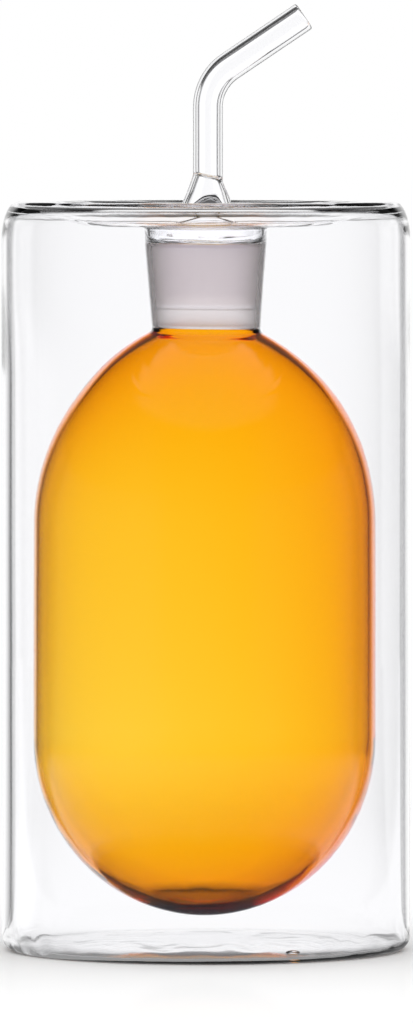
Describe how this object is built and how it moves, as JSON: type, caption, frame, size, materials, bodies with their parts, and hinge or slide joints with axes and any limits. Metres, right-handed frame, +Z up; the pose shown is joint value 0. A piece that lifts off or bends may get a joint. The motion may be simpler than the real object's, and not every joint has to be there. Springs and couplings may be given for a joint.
{
  "type": "double-walled oil bottle",
  "caption": "Clear glass cylinder with a round-bottomed amber flask hung inside it by its neck, and a hollow ground stopper with a bent pouring tube.",
  "frame": {"origin": "centre of the bottle's underside, on the surface that it stands on", "axes": "+Z up along the bottle's axis; +X towards the side that the pouring tube bends to"},
  "size_m": [0.075, 0.075, 0.174],
  "materials": {
    "clear_glass": "clear, fire-polished",
    "ground_glass": "finely ground, matt",
    "amber_glass": "clear amber, fire-polished"
  },
  "bodies": {
    "bottle": {"outer_jacket": "clear_glass", "base_disc": "clear_glass", "vent_seal": "clear_glass", "top_dish": "clear_glass", "neck_socket": "ground_glass", "inner_flask": "amber_glass"},
    "stopper": {"stopper_cone": "ground_glass", "stopper_collar": "clear_glass"},
    "spout": {"stopper_dome": "clear_glass", "spout_tube": "clear_glass"}
  },
  "joints": [
    {"name": "stopper_lift", "type": "slide", "parent": "bottle", "child": "stopper", "axis": [0, 0, 1], "range_m": [0, 0.03]},
    {"name": "spout_turn", "type": "hinge", "parent": "stopper", "child": "spout", "pos_m": [0, 0, 0.1334], "axis": [0, 0, 1], "continuous": true}
  ]
}
